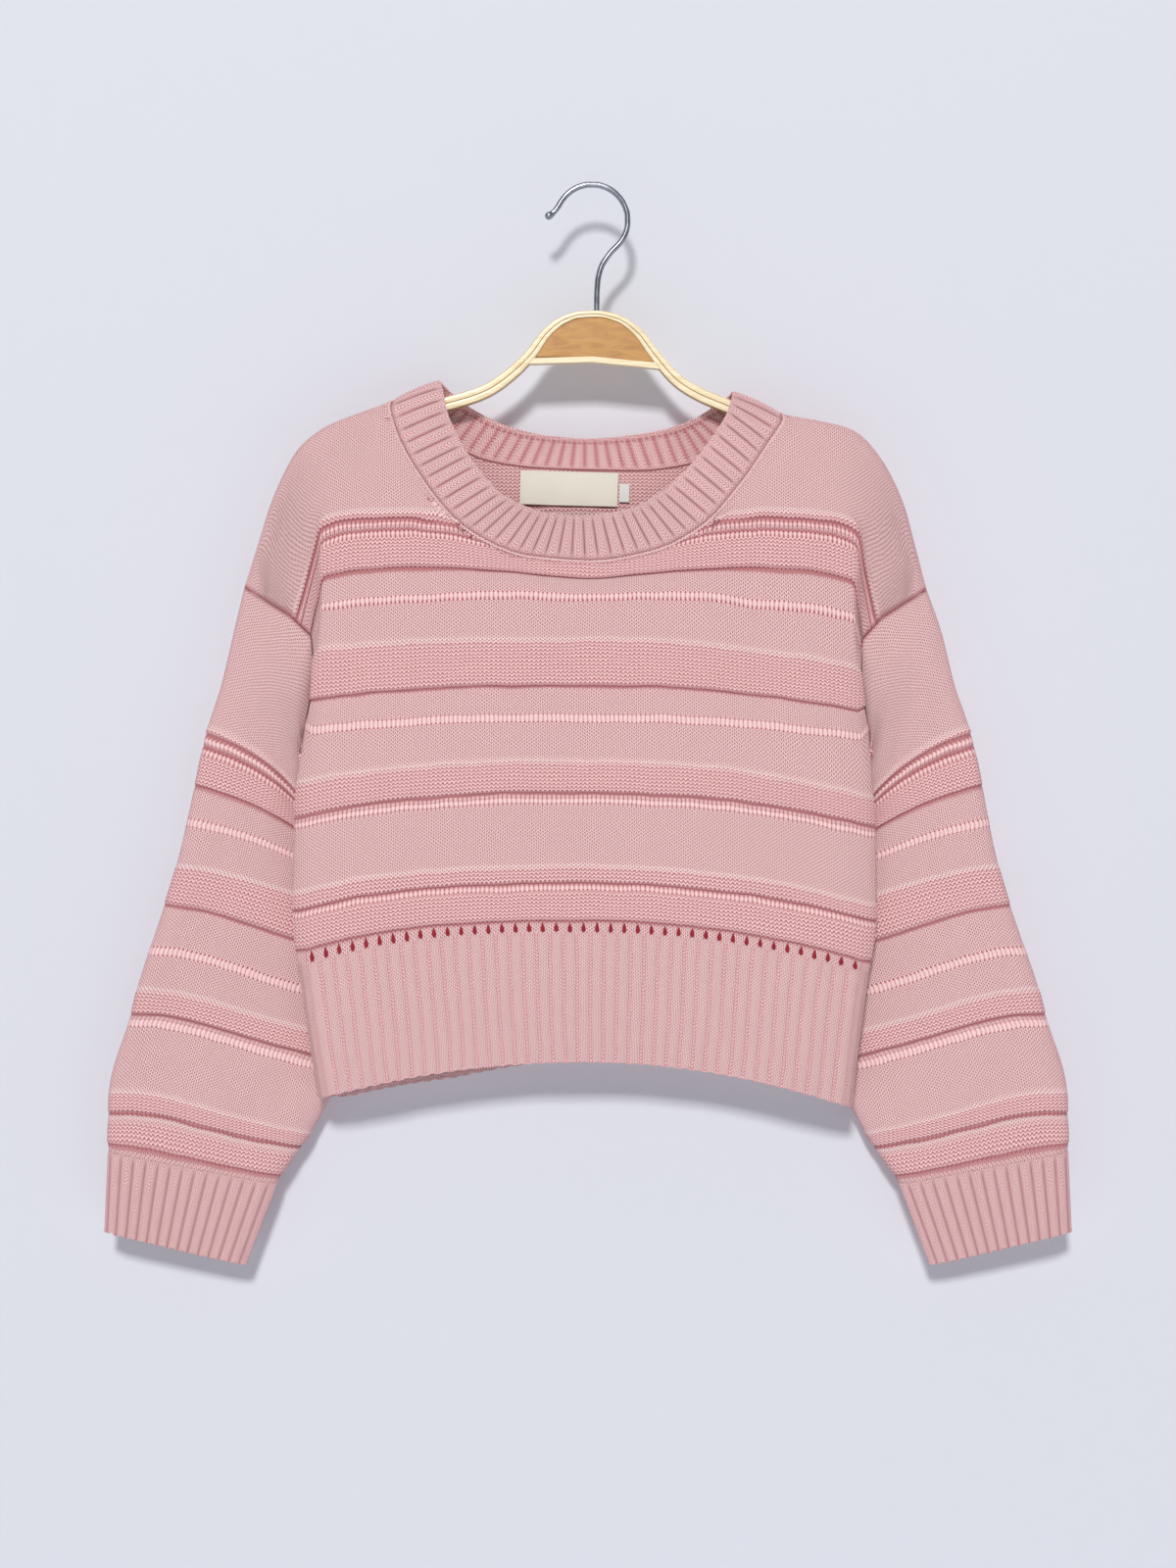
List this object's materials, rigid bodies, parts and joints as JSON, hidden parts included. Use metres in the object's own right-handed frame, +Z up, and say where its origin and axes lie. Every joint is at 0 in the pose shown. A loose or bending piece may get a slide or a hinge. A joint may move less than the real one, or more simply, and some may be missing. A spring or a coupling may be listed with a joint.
{
  "type": "sweater on a hanger",
  "caption": "Wide-necked cropped knit sweater with welted bands and full sleeves, hanging on a laminated wooden hanger with a wire hook.",
  "frame": {"origin": "inner top of the hook's bend, where a rail carries the hanger", "axes": "+Z up, the front of the sweater faces -Y, +X to the viewer's right"},
  "size_m": [0.658, 0.0504, 0.7369],
  "materials": {
    "knit": "matt knitted yarn, raised welts",
    "ribbing": "matt two-by-two rib",
    "tape": "smooth woven tape, bare",
    "veneer": "clear satin varnish",
    "plywood": "clear satin varnish",
    "wire": "bright plated wire"
  },
  "bodies": {
    "root": {"front": "knit", "back": "knit", "hem_front": "ribbing", "hem_back": "ribbing", "sleeve_left": "knit", "sleeve_right": "knit", "cuff_left": "ribbing", "cuff_right": "ribbing", "neckband": "ribbing", "label": "tape", "size_tab": "tape", "hanger_strip_upper": "veneer", "hanger_strip_lower": "veneer", "hanger_bar": "veneer", "hanger_infill": "plywood", "hook": "wire"}
  },
  "joints": []
}
